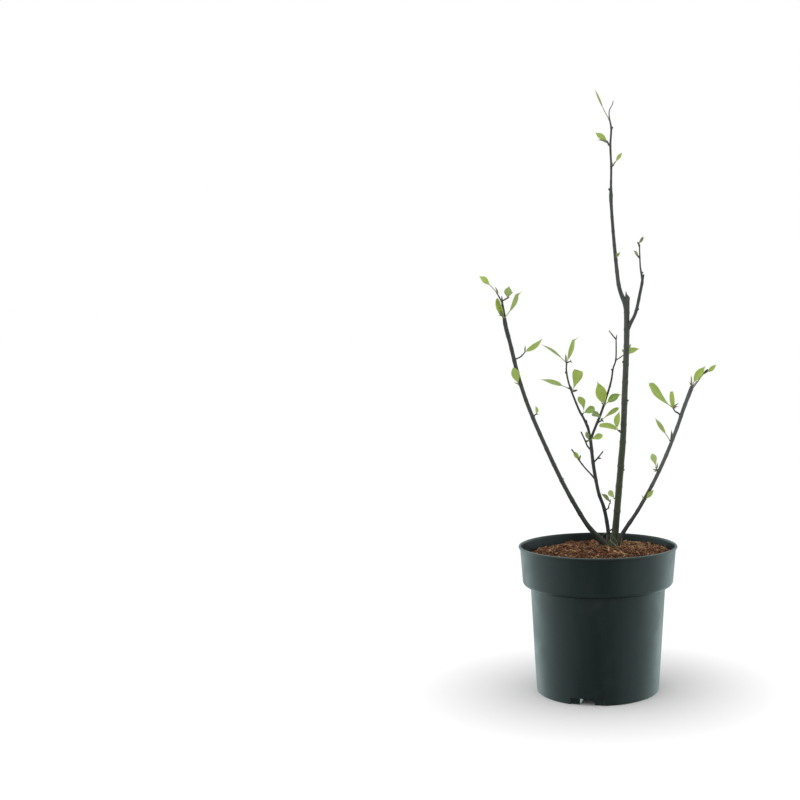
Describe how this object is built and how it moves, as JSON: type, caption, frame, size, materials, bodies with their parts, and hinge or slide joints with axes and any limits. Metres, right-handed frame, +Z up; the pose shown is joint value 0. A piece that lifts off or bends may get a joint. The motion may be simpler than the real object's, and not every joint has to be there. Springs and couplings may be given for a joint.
{
  "type": "potted young magnolia shrub",
  "caption": "Young multi-stem magnolia in a round plastic nursery pot of peat: slim bare dark stems rise from one crown and carry sparse sprays of fresh unfolding leaves.",
  "frame": {"origin": "middle of the flat underside of the pot, where the plant stands", "axes": "+Z up along the pot's axis; +X to the right and -Y to the front of the plant as it is usually shown"},
  "size_m": [0.2425, 0.17, 0.6376],
  "materials": {
    "pot": "dark grey-green moulded plastic with a soft satin sheen",
    "peat": "loose fibrous reddish-brown peat",
    "trunk_bark": "olive-grey young bark with pale pores",
    "bough_bark": "dark grey-brown young bark with ring scars",
    "foliage": "fresh yellow-green young leaves with a soft sheen",
    "twig_bark": "dark thin twigs"
  },
  "bodies": {
    "root": {"pot": "pot", "soil": "peat", "trunk": "trunk_bark", "leader": "bough_bark", "side_shoot": "bough_bark", "bough_left": "bough_bark", "bough_centre": "bough_bark", "bough_right": "bough_bark", "fork_left": "bough_bark", "fork_right": "bough_bark", "spray_leader_tip": "foliage", "spray_leader_left": "foliage", "spray_leader_right": "foliage", "spray_leader_low": "foliage", "spray_side_tip": "foliage", "spray_side_left": "foliage", "spray_left_tip": "foliage", "spray_left_tip_right": "foliage", "spray_left_collar": "foliage", "spray_left_upper": "foliage", "spray_left_mid": "foliage", "spray_left_low": "foliage", "spray_forkleft_tip": "foliage", "spray_forkleft_left": "foliage", "spray_forkleft_right": "foliage", "spray_forkleft_low": "foliage", "spray_fork": "foliage", "spray_forkright_pair": "foliage", "spray_forkright_low": "foliage", "spray_forkright_behind": "foliage", "spray_trunk_left": "foliage", "spray_centre_foot": "foliage", "spray_trunk_foot": "foliage", "spray_right_tip": "foliage", "spray_right_upper": "foliage", "spray_right_mid": "foliage", "spray_right_low": "foliage", "spray_right_foot": "foliage", "twig_forkright_top": "twig_bark", "twig_centre_mid": "twig_bark", "twig_centre_low": "twig_bark", "twig_centre_right": "twig_bark"}
  },
  "joints": []
}
